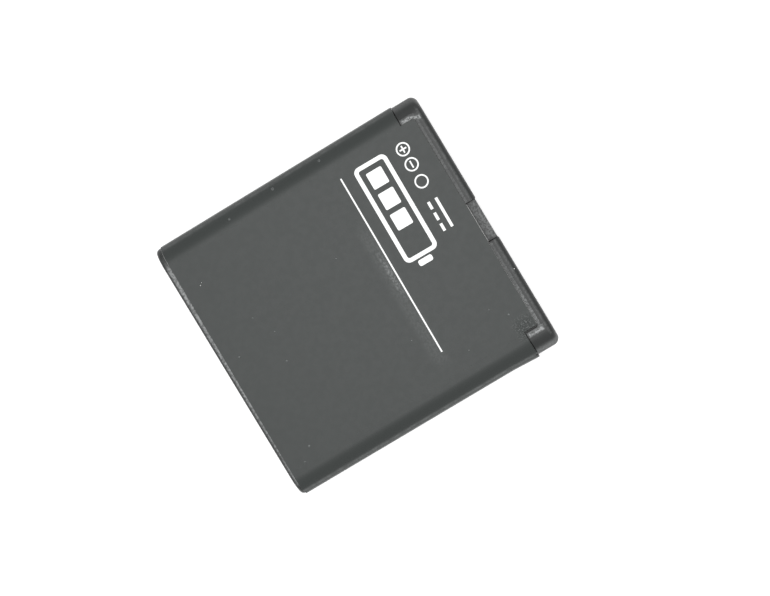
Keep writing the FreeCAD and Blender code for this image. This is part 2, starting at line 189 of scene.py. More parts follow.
dress(["terminal_gasket"], make_moulding(
    "natural_gasket", gasket_colour, roughness=0.45, grain_size=0.12 * mm, depth=0.004 * mm,
))
dress(["lid_insulator"], make_moulding(
    "pressed_fibre", fibre_colour, roughness=0.85, grain_size=0.06 * mm, depth=0.012 * mm,
))
dress(["fill_plug"], make_metal(
    "pressed_pin", plug_colour, roughness=0.3, line_size=0.1 * mm, depth=0.003 * mm,
))


# Negative terminal, clad plate, leads, strip and tabs: nickel, rolled and cut, welded in spots that
# leave small pits with a warm heat tint round them.
nickel_colour = (0.53, 0.5, 0.44)
nickel_roughness = 0.28
nickel_gloss = (0.22, 0.4)
rolled_line_size = 0.06 * mm
rolled_line_detail = 3.0
rolled_line_stretch = (1, 0.05, 1)
rolled_line_share = 0.2
heat_tint = (0.36, 0.25, 0.14)
weld_spot_pitch = 0.9 * mm
weld_spot_shift = 0.25
weld_tint_spread = (0.1, 0.34, 0.7, 0.0)
weld_pit_spread = (0.04, 0.18)
weld_pit_depth = 0.02 * mm


def make_nickel():
    material, tree, shader = start_finish("rolled_nickel", nickel_colour, nickel_roughness, metallic=1.0)
    lines = speckle(tree, rolled_line_size, rolled_line_detail, rolled_line_stretch)
    spots = tree.nodes.new("ShaderNodeTexVoronoi")
    spots.inputs["Scale"].default_value = 1 / weld_spot_pitch
    spots.inputs["Randomness"].default_value = weld_spot_shift
    tree.links.new(place_on_object(tree), spots.inputs["Vector"])
    tint = spread(tree, spots.outputs["Distance"], *weld_tint_spread)
    pit = spread(tree, spots.outputs["Distance"], *weld_pit_spread)
    paint(tree, shader, blend_colours(tree, tint, nickel_colour, heat_tint))
    vary_roughness(tree, shader, lines, *nickel_gloss)
    relief = combine(tree, "ADD", pit, combine(tree, "MULTIPLY", lines, rolled_line_share))
    raise_surface(tree, shader, relief, weld_pit_depth)
    return material


dress(
    ["negative_terminal", "positive_plate", "positive_strip", "fuse_inner_lead", "fuse_outer_lead",
     "board_tab_plus", "board_tab_minus"],
    make_nickel(),
)


# Thermal fuse and its tape: a flat sealed cut-out with a glossy moulded body, stuck to the lid on a
# piece of amber film tape.
fuse_colour = (0.02, 0.02, 0.022)
amber_colour = (0.55, 0.24, 0.03)
dress(["thermal_fuse"], make_moulding(
    "fuse_moulding", fuse_colour, roughness=0.3, grain_size=0.3 * mm, depth=0.003 * mm,
))
dress(["fuse_tape"], make_moulding(
    "amber_film_tape", amber_colour, roughness=0.22, grain_size=0.8 * mm, depth=0.004 * mm,
))


# Circuit board: glass fibre laminate under green solder mask. Copper tracks show through the mask as
# slightly raised and lighter lines.
mask_colour = (0.008, 0.09, 0.03)
mask_roughness = 0.3
mask_gloss = (0.24, 0.4)
mask_patch_size = 0.5 * mm
track_colour = (0.02, 0.17, 0.06)
track_pitch = 0.7 * mm
track_shift = 0.6
track_spread = (0.42, 0.5)
track_depth = 0.02 * mm


def make_board_finish():
    material, tree, shader = start_finish("solder_mask", mask_colour, mask_roughness)
    cells = tree.nodes.new("ShaderNodeTexVoronoi")
    cells.distance = "MANHATTAN"
    cells.feature = "F1"
    cells.inputs["Scale"].default_value = 1 / track_pitch
    cells.inputs["Randomness"].default_value = track_shift
    tree.links.new(place_on_object(tree), cells.inputs["Vector"])
    tracks = spread(tree, cells.outputs["Distance"], *track_spread)
    paint(tree, shader, blend_colours(tree, tracks, mask_colour, track_colour))
    vary_roughness(tree, shader, speckle(tree, mask_patch_size), *mask_gloss)
    raise_surface(tree, shader, tracks, track_depth)
    return material


dress(["circuit_board"], make_board_finish())


# Chips, resistors and capacitors: epoxy, glazed and ceramic bodies, each soldered to the board by its
# tinned leads or ends, which stand out beyond the body above and below its middle.
epoxy_colour = (0.012, 0.012, 0.013)
glaze_colour = (0.01, 0.012, 0.02)
ceramic_colour = (0.32, 0.2, 0.11)
tin_colour = (0.6, 0.6, 0.6)
component_grain = 0.05 * mm
component_tones = (0.85, 1.2)
component_gloss = (-0.05, 0.1)
component_depth = 0.003 * mm
board_low, board_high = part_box("circuit_board")
board_middle = (board_low.z + board_high.z) / 2


def distance_from(tree, value, centre):
    return combine(tree, "ABSOLUTE", combine(tree, "SUBTRACT", value, centre), 0)


def make_component(name, colour, roughness, body_half_height):
    material, tree, shader = start_finish(name, colour, roughness)
    x, y, z = place_axes(tree)
    tinned = combine(tree, "GREATER_THAN", distance_from(tree, z, board_middle), body_half_height)
    grain = speckle(tree, component_grain)
    body = shade(tree, grain, colour, component_tones)
    paint(tree, shader, blend_colours(tree, tinned, body, tin_colour))
    tree.links.new(tinned, shader.inputs["Metallic"])
    vary_roughness(tree, shader, grain, roughness + component_gloss[0], roughness + component_gloss[1])
    raise_surface(tree, shader, grain, component_depth)
    return material


dress(["protection_chip"], make_component(
    "chip_epoxy_small", epoxy_colour, roughness=0.5, body_half_height=0.76 * mm,
))
dress(["switch_chip"], make_component(
    "chip_epoxy_wide", epoxy_colour, roughness=0.5, body_half_height=0.96 * mm,
))
dress(["resistor_1", "resistor_2", "resistor_3"], make_component(
    "resistor_glaze_tinned", glaze_colour, roughness=0.3, body_half_height=0.25 * mm,
))
dress(["capacitor_1", "capacitor_2"], make_component(
    "capacitor_body_tinned", ceramic_colour, roughness=0.5, body_half_height=0.25 * mm,
))


# Contacts: copper blocks plated with nickel and gold, with a faint rubbed line across each where the
# phone's spring contact slides when the battery goes in.
gold_colour = (0.83, 0.55, 0.19)
gold_roughness = 0.2
gold_gloss = (0.14, 0.42)
rubbed_gold_colour = (0.6, 0.44, 0.24)
slide_size = 0.16 * mm
slide_stretch = (1, 1, 0.12)
slide_wear_spread = (0.56, 0.7)
slide_high = 0.75
slide_depth = 0.003 * mm


def make_gold():
    material, tree, shader = start_finish("gold_plate", gold_colour, gold_roughness, metallic=1.0)
    rub = speckle(tree, slide_size, stretch=slide_stretch)
    worn = spread(tree, rub, *slide_wear_spread)
    paint(tree, shader, blend_colours(tree, worn, gold_colour, rubbed_gold_colour))
    vary_roughness(tree, shader, rub, *gold_gloss, value_high=slide_high)
    raise_surface(tree, shader, rub, slide_depth)
    return material


dress(["contact_plus", "contact_minus", "contact_sense"], make_gold())


# Contact cap: one moulding in dark grey plastic with a fine spark-eroded texture. It is rubbed light on
# the lip round the label's recess, most on the lip's two side arms, and faintly on its edges. A painted
# highlight, broken into scuffs, runs along the rounded sides of its wings. Painted shade darkens the
# grooves at the label's edge, the notch's corners, the cap beside the notch and under the film's loose
# corner.
cap_colour = (0.0238, 0.0256, 0.0252)
cap_specular = 0.23
cap_roughness = 0.42
cap_gloss = (0.38, 0.46)
cap_tones = (0.85, 1.2)
cap_texture_size = 0.09 * mm
cap_texture_depth = 0.006 * mm
cap_patch_size = 1.1 * mm
cap_patch_detail = 4.0
cap_scuff_size = 0.3 * mm
cap_scuff_detail = 5.0
# Light grey, for rubbed wear and for painted highlights.
wear_and_highlight_colour = (0.3, 0.31, 0.31)
# Near black, for shade painted into grooves and corners.
painted_shade_colour = (0.004, 0.004, 0.004)
cap_low, cap_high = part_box("contact_cap")
pack_middle = (cap_low.z + cap_high.z) / 2
cap_top = 2.23 * mm
lip_top = 2.34 * mm
arm_low = -17.4 * mm
arm_high = 17.84 * mm
arm_start = 18.2 * mm
arm_low_end = 20.65 * mm
arm_high_end = 21.0 * mm
arm_end_soft = 0.16 * mm
arm_half_width = 0.3 * mm
arm_bend = 0.5 * mm
arm_bend_start = 19.3 * mm
arm_across_spread = (0.3 * arm_half_width, 1.5 * arm_half_width, 0.92, 0.0)
arm_height_spread = (1.9 * mm, 2.2 * mm)
lip_front_spread = (-15 * mm, -6 * mm, 0.34, 0.13)
lip_scuff_spread = (0.34, 0.62, 0.1, 1.15)
lip_patch_spread = (0.3, 0.6, 0.55, 1.05)
edge_rub_band = (20.9 * mm, 21.25 * mm, 0.1 * mm)
edge_height_spread = (1.9 * mm, 2.1 * mm)
edge_scuff_spread = (0.35, 0.65, 0.03, 0.14)
notch_middle = 0.17 * mm
notch_half_width = 3.1 * mm
notch_low = notch_middle - notch_half_width
notch_high = notch_middle + notch_half_width
notch_floor = 1.45 * mm
floor_width_band = (notch_low, notch_high, 0.05 * mm)
floor_height_band = (notch_floor - 0.1 * mm, notch_floor + 0.1 * mm, 0.05 * mm)
floor_edge_spread = (21.61 * mm, 21.64 * mm, 1.0, 0.0)
floor_depth_spread = (20.1 * mm, 21.4 * mm, 0.45, 1.0)
floor_scuff_spread = (0.4, 0.62, 0.0, 0.3)
# A painted highlight on the rounded sides of the wings, stronger at -Y:
side_width_spread = (19.2 * mm, 20.2 * mm)
side_height_band = (1.0 * mm, 1.75 * mm, 0.3 * mm)
side_highlight_spread = (-5 * mm, 5 * mm, 0.42, 0.15)
side_scuff_spread = (0.3, 0.62, 0.7, 1.0)
# Where shade is painted: the grooves, the notch's corners, beside the notch and under the loose film.
groove_band = (17.9 * mm, 18.06 * mm, 0.005 * mm)
flap_groove_length_band = (18.06 * mm, 19.9 * mm, 0.05 * mm)
flap_groove_width_band = (-16.98 * mm, -16.66 * mm, 0.02 * mm)
corner_height_band = (notch_floor - 0.05 * mm, lip_top + 0.1 * mm, 0.05 * mm)
corner_inner_spread = (notch_half_width - 0.5 * mm, notch_half_width - 0.05 * mm)
corner_outer_spread = (notch_half_width + 0.08 * mm, notch_half_width + 0.22 * mm, 1.0, 0.0)
corner_depth_spread = (20.8 * mm, 21.5 * mm, 1.0, 0.2)
corner_side_spread = (-2 * mm, 2 * mm, 1.0, 0.5)
beside_notch_length_band = (20.2 * mm, 20.9 * mm, 0.12 * mm)
beside_notch_width_band = (-3.26 * mm, -2.9 * mm, 0.06 * mm)
beside_notch_shade = 0.85
under_film_spread = (18.1 * mm, 18.2 * mm, 1.0, 0.0)
under_film_band = (-20.55 * mm, -20.2 * mm, 0.05 * mm)


def chain(tree, operation, values):
    result = values[0]
    for value in values[1:]:
        result = combine(tree, operation, result, value)
    return result


def multiply(tree, *factors):
    return chain(tree, "MULTIPLY", factors)


def strongest(tree, *values):
    return chain(tree, "MAXIMUM", values)


def between(tree, value, low, high, soft):
    """One between two ends, which are soft. Values named _band hold the two ends and the softness."""
    return multiply(
        tree, spread(tree, value, low - soft, low + soft),
        spread(tree, value, high - soft, high + soft, 1.0, 0.0),
    )


# The lighter marks: rubbing on the lip, its edges and the notch's floor, and a painted highlight along the
# wings' rounded sides.
def contact_cap_wear_and_highlight(tree, x, y, height, scuffs, patches):
    def arm(centre, end, bend):
        bent_y = combine(tree, "ADD", y, spread(tree, x, arm_bend_start, end, 0.0, bend))
        return multiply(
            tree, spread(tree, distance_from(tree, bent_y, centre), *arm_across_spread),
            between(tree, x, arm_start, end, arm_end_soft), spread(tree, height, *arm_height_spread),
        )

    arms = strongest(tree, arm(arm_high, arm_high_end, arm_bend), arm(arm_low, arm_low_end, 0.0))
    on_lip = spread(tree, height, (cap_top + lip_top) / 2, lip_top)
    lip_wear = multiply(
        tree, strongest(tree, arms, multiply(tree, on_lip, spread(tree, y, *lip_front_spread))),
        spread(tree, scuffs, *lip_scuff_spread), spread(tree, patches, *lip_patch_spread),
    )
    edge_rub = multiply(
        tree, between(tree, x, *edge_rub_band),
        spread(tree, height, *edge_height_spread), spread(tree, scuffs, *edge_scuff_spread),
    )
    floor_rub = multiply(
        tree, between(tree, y, *floor_width_band), between(tree, height, *floor_height_band),
        spread(tree, x, *floor_edge_spread), spread(tree, x, *floor_depth_spread),
        spread(tree, scuffs, *floor_scuff_spread),
    )
    # Painted highlight: a lighter band along each wing's rounded side, broken into scuffs.
    side_highlight = multiply(
        tree, spread(tree, distance_from(tree, y, 0), *side_width_spread),
        between(tree, height, *side_height_band),
        spread(tree, y, *side_highlight_spread), spread(tree, scuffs, *side_scuff_spread),
    )
    return strongest(tree, lip_wear, edge_rub, floor_rub, side_highlight)


# Painted shade: darkens the cap in its grooves, the notch's corners, beside the notch and under the film's
# loose corner.
def contact_cap_painted_shade(tree, x, y, height):
    in_groove = between(tree, x, *groove_band)
    in_flap_groove = multiply(
        tree, between(tree, x, *flap_groove_length_band), between(tree, y, *flap_groove_width_band),
    )
    from_notch_middle = distance_from(tree, y, notch_middle)
    in_notch_corner = multiply(
        tree, between(tree, height, *corner_height_band),
        spread(tree, from_notch_middle, *corner_inner_spread),
        spread(tree, from_notch_middle, *corner_outer_spread),
        spread(tree, x, *corner_depth_spread), spread(tree, y, *corner_side_spread),
    )
    beside_notch = multiply(
        tree, between(tree, x, *beside_notch_length_band), between(tree, y, *beside_notch_width_band),
        beside_notch_shade,
    )
    under_film = multiply(tree, spread(tree, x, *under_film_spread), between(tree, y, *under_film_band))
    return strongest(tree, in_groove, in_flap_groove, in_notch_corner, beside_notch, under_film)


def make_cap_finish(name, wear_and_highlight_of, painted_shade_of=None):
    material, tree, shader = start_finish(name, cap_colour, cap_roughness, specular=cap_specular)
    x, y, z = place_axes(tree)
    height = distance_from(tree, z, pack_middle)
    texture = speckle(tree, cap_texture_size)
    patches = speckle(tree, cap_patch_size, cap_patch_detail)
    scuffs = speckle(tree, cap_scuff_size, cap_scuff_detail)
    plain = shade(tree, patches, cap_colour, cap_tones)
    # The surface is lighter where it is rubbed and where a highlight is painted.
    surface = blend_colours(tree, wear_and_highlight_of(tree, x, y, height, scuffs, patches), plain, wear_and_highlight_colour)
    # Painted shade, where it is given, is laid over the surface last.
    if painted_shade_of:
        surface = blend_colours(tree, painted_shade_of(tree, x, y, height), surface, painted_shade_colour)
    paint(tree, shader, surface)
    vary_roughness(tree, shader, texture, *cap_gloss)
    raise_surface(tree, shader, combine(tree, "ADD", texture, scuffs), cap_texture_depth)
    return material


dress(["contact_cap"], make_cap_finish("cap_moulding", contact_cap_wear_and_highlight, contact_cap_painted_shade))


# End tape and end cap: white double-sided tape, and a plain moulded strip at the far end whose upper
# edge is scuffed light, more and more towards +Y, but hardly in its last 3 mm there.
tape_colour = (0.75, 0.75, 0.72)
end_rub_band = (-21.46 * mm, -20.9 * mm, 0.18 * mm)
end_height_spread = (1.8 * mm, 2.1 * mm)
end_rub_spread = (-19 * mm, 10 * mm, 0.46, 0.62)
end_stop_spread = (17 * mm, 18 * mm, 1.0, 0.15)
end_scuff_spread = (0.38, 0.62, 0.4, 1.2)


def end_cap_wear(tree, x, y, height, scuffs, patches):
    return multiply(
        tree, between(tree, x, *end_rub_band), spread(tree, height, *end_height_spread),
        spread(tree, y, *end_rub_spread), spread(tree, y, *end_stop_spread),
        spread(tree, scuffs, *end_scuff_spread),
    )


dress(["end_tape"], make_moulding(
    "white_tape", tape_colour, roughness=0.7, grain_size=0.4 * mm, depth=0.004 * mm,
))
dress(["end_cap"], make_cap_finish("end_cap_moulding", end_cap_wear))


# Label: polyester film 0.12 mm thick, white inside and printed matt dark grey, wrapped round the cell
# with a flap over the contact cap on each face. Its die-cut edges slope and show the white film. It
# stands a little over the notch, and its -Y edge has come loose near the wing of the cap.
label_low, label_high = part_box("label_wrap")
pack_half_width = label_high.y
pack_half_height = (label_high.z - label_low.z) / 2
side_depth = 3.0 * mm
side_nose_radius = 1.9 * mm
side_shoulder_radius = (
    (side_depth ** 2 - 2 * side_depth * side_nose_radius + pack_half_height ** 2)
    / (2 * (pack_half_height - side_nose_radius))
)
film_thickness = 0.12 * mm
cut_slope = 0.055 * mm
sharp_angle = 35
label_far_edge = -21.06 * mm
label_skew = math.radians(0.5)
wrap_edge = 17.93 * mm
nose_start = 19.6 * mm
nose_blend = 0.5 * mm
nose_closing = 0.1 * mm
flap_end = label_high.x
flap_low = -16.66 * mm
flap_high = 17.6 * mm
flap_corner = 0.35 * mm
notch_overhang = 0.08 * mm
lift = 0.2 * mm
lift_start = 13.8 * mm
seam_place = -14.5 * mm
seam_gap = 0.25 * mm
arc_steps = 14
corner_steps = 6
flap_steps = 12
wrap_rows = 28
flap_rows = 3
film_colour = (0.0345, 0.0385, 0.0372)
film_specular = 0.176
film_roughness = 0.42
film_gloss = (0.41, 0.44)
film_tones = (0.94, 1.06)
film_grain_size = 0.1 * mm
film_relief_depth = 0.004 * mm
cloud_size = 9 * mm
cloud_detail = 3.0
cloud_share = 0.65
mottle_size = 0.9 * mm
mottle_detail = 3.0
mottle_share = 0.35
mottle_relief = 0.25
mark_core = 0.2
smear_size = 0.3 * mm
smear_detail = 6.0
smear_stretch = (1, 0.7, 1)
smudge_place = (5.85 * mm, 0.2 * mm)
smudge_reach = (0.55 * mm, 4.6 * mm)
smudge_spread = (0.4, 0.66, 0.04, 0.36)
haze_place = 5.7 * mm
haze_reach = 1.65 * mm
haze_band = (-14.4 * mm, 7.6 * mm, 1.6 * mm)
haze_spread = (0.34, 0.66, 0.02, 0.085)
scuff_place = (18.5 * mm, -16.1 * mm)
scuff_reach = (2.3 * mm, 2.4 * mm)
prick_size = 0.24 * mm
prick_spread = (0.52, 0.66, 0.0, 0.28)
prick_relief = 28.0
upper_face_spread = (0.0, 1 * mm)
# Painted highlight on the shoulders of the rounded sides, stronger at -Y:
shoulder_band = (1.2 * mm, 1.55 * mm, 0.15 * mm)
shoulder_spread = (-5 * mm, 5 * mm, 0.19, 0.09)
shoulder_mottle_spread = (0.35, 0.65, 0.5, 1.3)
# Painted shade at the film's loose corner:
loose_corner_spread = (wrap_edge - 0.4 * mm, wrap_edge - 0.25 * mm)
loose_corner_band = (-20.6 * mm, -20.3 * mm, 0.06 * mm)
film_edge_colour = (0.75, 0.75, 0.74)
# Near black, for shade painted on the cut edge and at the loose corner.
shaded_edge_colour = (0.01, 0.01, 0.01)
edge_roughness = 0.5
edge_gloss = (0.45, 0.6)
edge_spot_size = 0.3 * mm
edge_spot_spread = (0.42, 0.5)
notch_edge_spread = (flap_end - 0.4 * mm, flap_end - 0.2 * mm)
notch_edge_band = (notch_low, notch_high, 0.1 * mm)
notch_edge_white = 0.7
far_edge_spread = (label_far_edge + 0.4 * mm, label_far_edge + 0.6 * mm, 1.0, 0.0)
far_spots_spread = (6 * mm, 13 * mm, 0.06, 0.4)
far_corner_spread = (17 * mm, 18 * mm, 0.0, 0.6)
flap_length_spread = (wrap_edge + 0.1 * mm, wrap_edge + 0.2 * mm)
flap_width_spread = (flap_low + 0.1 * mm, flap_low + 0.3 * mm)
flap_front_spread = (-14 * mm, 3 * mm, 0.62, 0.2)


def side_arcs(inset):
    """The points of one rounded side from its widest point to the flat, as (y, height) pairs."""
    nose_radius = side_nose_radius - inset
    shoulder_radius = side_shoulder_radius - inset
    turn = math.atan2(side_shoulder_radius - pack_half_height, side_depth - side_nose_radius)
    points = []
    for step in range(arc_steps):
        angle = turn * step / arc_steps
        points.append((
            pack_half_width - side_nose_radius + nose_radius * math.cos(angle),
            nose_radius * math.sin(angle),
        ))
    for step in range(arc_steps + 1):
        angle = turn + (math.pi / 2 - turn) * step / arc_steps
        points.append((
            pack_half_width - side_depth + shoulder_radius * math.cos(angle),
            pack_half_height - side_shoulder_radius + shoulder_radius * math.sin(angle),
        ))
    return points


def flap_stations(trim):
    """The y places across a flap, close together where its corners are rounded."""
    radius = flap_corner - trim
    turns = [math.pi / 2 * step / corner_steps for step in range(corner_steps + 1)]
    corner = [radius * (1 - math.cos(turn)) for turn in turns]
    inner_low = flap_low + flap_corner
    inner_high = flap_high - flap_corner
    middle = [inner_low + (inner_high - inner_low) * step / flap_steps for step in range(1, flap_steps)]
    for side in (-1, 1):
        middle += [notch_middle + side * (notch_half_width - margin) for margin in (0, notch_overhang)]
    middle.sort()
    low_corner = [flap_low + trim + inward for inward in corner]
    high_corner = [flap_high - trim - inward for inward in reversed(corner)]
    return low_corner + middle + high_corner


def flap_front(y, trim):
    """Where the flap ends at a y: straight but for its rounded corners, and a little over the notch."""
    radius = flap_corner - trim
    from_edge = min(y - flap_low - trim, flap_high - trim - y)
    if abs(y - notch_middle) < notch_half_width - notch_overhang / 2:
        return flap_end + notch_overhang - trim
    if from_edge >= radius:
        return flap_end - trim
    return flap_end - trim - radius + math.sqrt(max(radius ** 2 - (radius - from_edge) ** 2, 0))


def wrap_end(y):
    """Where the wrap ends beside the cap: at its cut edge, and almost at the wing on the sides' noses."""
    return wrap_edge + nose_closing * min(max((abs(y) - nose_start) / nose_blend, 0), 1)


def label_columns(inset, trim):
    """Where the film starts, leaves the sides and ends, at each place round the battery from the seam
    back to the seam, for a surface that lies by an inset inside the outer one and is trimmed all round."""
    half_seam = seam_gap / 2 + trim
    flat_height = pack_half_height - inset
    flats = flap_stations(trim)
    side = side_arcs(inset)
    beyond_seam = [seam_place + half_seam] + [y for y in flats if y > seam_place + half_seam]
    before_seam = [y for y in flats if y < seam_place - half_seam] + [seam_place - half_seam]

    def column(y, z, on_flap):
        start = label_far_edge + math.tan(label_skew) * y + trim
        return y, pack_middle + z, start, wrap_end(y) - trim, flap_front(y, trim) if on_flap else None

    columns = [column(y, -flat_height, True) for y in beyond_seam]
    columns += [column(y, -height, False) for y, height in reversed(side)]
    columns += [column(y, height, False) for y, height in side[1:]]
    columns += [column(y, flat_height, True) for y in reversed(flats)]
    columns += [column(-y, height, False) for y, height in reversed(side)]
    columns += [column(-y, -height, False) for y, height in side[1:]]
    return columns + [column(y, -flat_height, True) for y in before_seam]


def lifted(x, y):
    """The film stands off the -Y side a little towards the wing of the cap, where it has come loose."""
    along = min(max((x - lift_start) / (wrap_edge - lift_start), 0), 1)
    aside = min(max((side_depth - pack_half_width - y) / side_depth, 0), 1)
    return y - lift * along * aside ** 2


def add_film_surface(mesh, columns):
    """A grid of faces over the columns. Rows run from the far edge to the cap, then over the flaps."""
    grid = []
    for y, z, start, wrap, front in columns:
        places = [start + (wrap - start) * row / wrap_rows for row in range(wrap_rows + 1)]
        if front is not None:
            places += [wrap + (front - wrap) * row / flap_rows for row in range(1, flap_rows + 1)]
        grid.append([mesh.verts.new((x, lifted(x, y), z)) for x in places])
    faces = []
    for left, right in zip(grid, grid[1:]):
        for row in range(min(len(left), len(right)) - 1):
            faces.append(mesh.faces.new((left[row], right[row], right[row + 1], left[row + 1])))
    return [vertex for line in grid for vertex in line], faces


def make_label():
    """An outer and an inner film surface, joined all round by the sloping cut edge."""
    mesh = bmesh.new()
    outer, outer_faces = add_film_surface(mesh, label_columns(0, cut_slope))
    boundary = [loop for face in outer_faces for loop in face.loops if loop.edge.is_boundary]
    rim = [(loop.link_loop_next.vert, loop.vert) for loop in boundary]
    inner, inner_faces = add_film_surface(mesh, label_columns(film_thickness, 0))
    for face in inner_faces:
        face.normal_flip()
    below = dict(zip(outer, inner))
    for first, second in rim:
        mesh.faces.new((first, second, below[second], below[first])).material_index = 1
    data = bpy.data.meshes.new("film_label")
    mesh.to_mesh(data)
    mesh.free()
    for face in data.polygons:
        face.use_smooth = True
    data.set_sharp_from_angle(angle=math.radians(sharp_angle))
    return data


def make_film_finish():
    material, tree, shader = start_finish("matt_film", film_colour, film_roughness, specular=film_specular)
    x, y, z = place_axes(tree)
    clouds = speckle(tree, cloud_size, cloud_detail)
    mottle = speckle(tree, mottle_size, mottle_detail)
    grain = speckle(tree, film_grain_size)
    shading = combine(
        tree, "ADD", multiply(tree, clouds, cloud_share), multiply(tree, mottle, mottle_share),
    )
    plain = shade(tree, shading, film_colour, film_tones)

    def near(value, centre, reach):
        return spread(tree, distance_from(tree, value, centre), mark_core * reach, reach, 1.0, 0.0)

    def patch(place, reach):
        return multiply(tree, near(x, place[0], reach[0]), near(y, place[1], reach[1]))

    smear = speckle(tree, smear_size, smear_detail, smear_stretch)
    smudge = multiply(tree, patch(smudge_place, smudge_reach), spread(tree, smear, *smudge_spread))
    haze = multiply(
        tree, near(x, haze_place, haze_reach), between(tree, y, *haze_band),
        spread(tree, smear, *haze_spread),
    )
    pricks = speckle(tree, prick_size)
    scuff = patch(scuff_place, scuff_reach)
    scuffed = multiply(tree, scuff, spread(tree, pricks, *prick_spread))
    marks = strongest(tree, combine(tree, "ADD", smudge, haze), scuffed)
    above_middle = combine(tree, "SUBTRACT", z, pack_middle)
    on_upper_face = multiply(tree, marks, spread(tree, above_middle, *upper_face_spread))
    # Painted highlight: a lighter band on the shoulder of each rounded side, above and below, broken by the
    # mottle.
    shoulder = multiply(
        tree, between(tree, combine(tree, "ABSOLUTE", above_middle, 0), *shoulder_band),
        spread(tree, y, *shoulder_spread), spread(tree, mottle, *shoulder_mottle_spread),
    )
    marked = blend_colours(tree, strongest(tree, on_upper_face, shoulder), plain, wear_and_highlight_colour)
    # Painted shade: the film's corner is darkened near black where it stands loose off the -Y side by the
    # wing.
    shaded_loose_corner = multiply(
        tree, spread(tree, x, *loose_corner_spread), between(tree, y, *loose_corner_band),
    )
    paint(tree, shader, blend_colours(tree, shaded_loose_corner, marked, shaded_edge_colour))
    vary_roughness(tree, shader, mottle, *film_gloss)
    relief = combine(tree, "ADD", grain, multiply(tree, mottle, mottle_relief))
    relief = combine(tree, "ADD", relief, multiply(tree, scuff, pricks, prick_relief))
    raise_surface(tree, shader, relief, film_relief_depth)
    return material


def make_cut_finish():
    """The die-cut edge shows the white film at the notch, and in spots and at one corner of the far
    end. It is greyed round the flap, and elsewhere painted near black as shade, as in the gaps where the
    label meets the wings of the cap."""
    material, tree, shader = start_finish("cut_film_edge", film_edge_colour, edge_roughness)
    x, y, z = place_axes(tree)
    at_notch = multiply(
        tree, spread(tree, x, *notch_edge_spread), between(tree, y, *notch_edge_band), notch_edge_white,
    )
    spots = spread(tree, speckle(tree, edge_spot_size), *edge_spot_spread)
    at_far_end = multiply(
        tree, spread(tree, x, *far_edge_spread),
        strongest(
            tree, multiply(tree, spread(tree, y, *far_spots_spread), spots),
            spread(tree, y, *far_corner_spread),
        ),
    )
    at_flap_front = multiply(
        tree, spread(tree, x, *flap_length_spread), spread(tree, y, *flap_width_spread),
        spread(tree, y, *flap_front_spread),
    )
    white = strongest(tree, at_notch, at_far_end, at_flap_front)
    paint(tree, shader, blend_colours(tree, white, shaded_edge_colour, film_edge_colour))
    vary_roughness(tree, shader, spots, *edge_gloss, value_low=0.0, value_high=1.0)
    return material


def add_object(name, data):
    piece = bpy.data.objects.new(name, data)
    bpy.context.scene.collection.objects.link(piece)
    return piece


label = add_object("film_label", make_label())
for finish in (make_film_finish(), make_cut_finish()):
    label.data.materials.append(finish)
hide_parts("label_wrap")
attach(label, "root")


# Dust: a few grains caught under the film stand out as low lumps, and three white specks lie on the
# battery. Each is a squashed ball, sunk so far into the surface that its top shows. The lumps are
# coloured lighter than the film, as rubbed film and as a painted highlight.
rubbed_and_highlit_lump_colour = (0.05, 0.055, 0.054)
white_dust_colour = (0.7, 0.7, 0.68)
ball_segments = 16
ball_rings = 12
lump_places = [
    (-17.0, -14.85, 0.26), (-18.7, -16.5, 0.2), (-19.0, 1.3, 0.22), (-13.4, -2.7, 0.24), (-12.7, 1.8, 0.18),
    (-14.4, 5.1, 0.18), (0.3, 6.2, 0.2), (3.5, -9.4, 0.18), (9.8, -14.8, 0.2), (17.3, -13.3, 0.24),
    (15.2, -11.3, 0.2), (-2.4, 19.4, 0.26), (-9.95, 18.9, 0.22), (5.4, 19.4, 0.24),
]
speck_places = [(-18.42, 12.95, 0.065), (-18.08, 13.2, 0.05), (21.3, -8.1, 0.075)]


def battery_surface(y):
    """The height of the film's upper side above the middle of the battery, and its tilt, at a y."""
    beyond_flat = max(abs(y) - (pack_half_width - side_depth), 0)
    tilt = math.asin(beyond_flat / side_shoulder_radius)
    return pack_half_height - side_shoulder_radius * (1 - math.cos(tilt)), -math.copysign(tilt, y)


